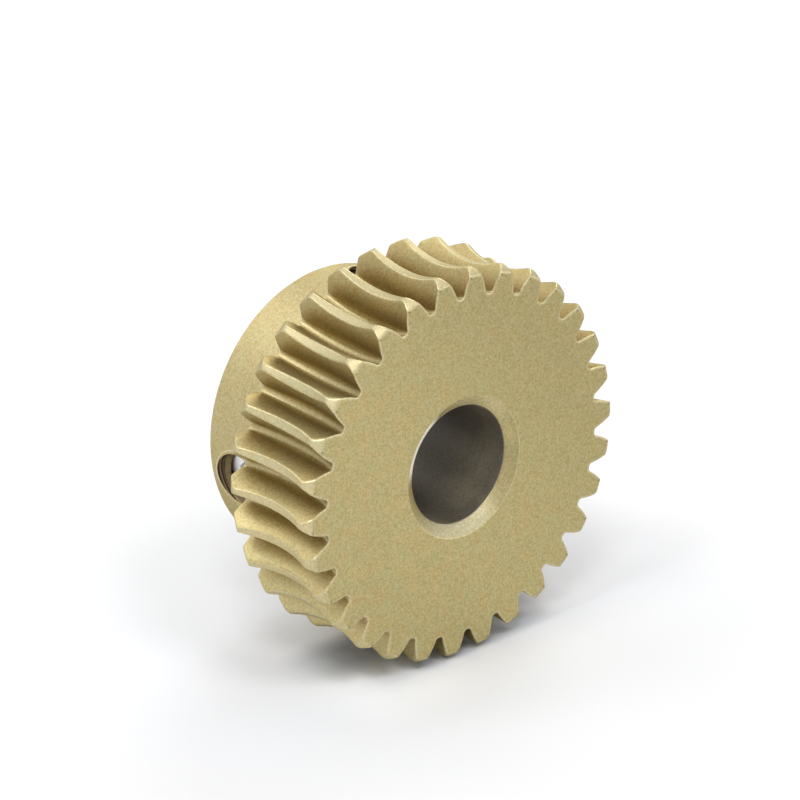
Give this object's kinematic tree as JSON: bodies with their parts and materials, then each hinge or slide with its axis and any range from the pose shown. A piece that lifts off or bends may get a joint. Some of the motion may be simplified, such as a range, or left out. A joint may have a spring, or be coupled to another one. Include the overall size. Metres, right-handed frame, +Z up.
{
  "type": "worm wheel",
  "caption": "Throated bronze worm wheel with a hub on one side, a chamfered plain bore and set screws through the hub.",
  "frame": {"origin": "on the bore's axis, halfway along the wheel's overall length", "axes": "+Y runs along the bore's axis, from the toothed front face towards the hub; +Z is up as the wheel stands on two teeth of its rim; +X is to the right, seen from the front"},
  "size_m": [0.0338, 0.0176, 0.0336],
  "materials": {
    "bronze": "satin, machined",
    "screw_steel": "bright"
  },
  "bodies": {
    "root": {"worm_wheel": "bronze", "set_screw_left": "screw_steel", "set_screw_top": "screw_steel"}
  },
  "joints": []
}
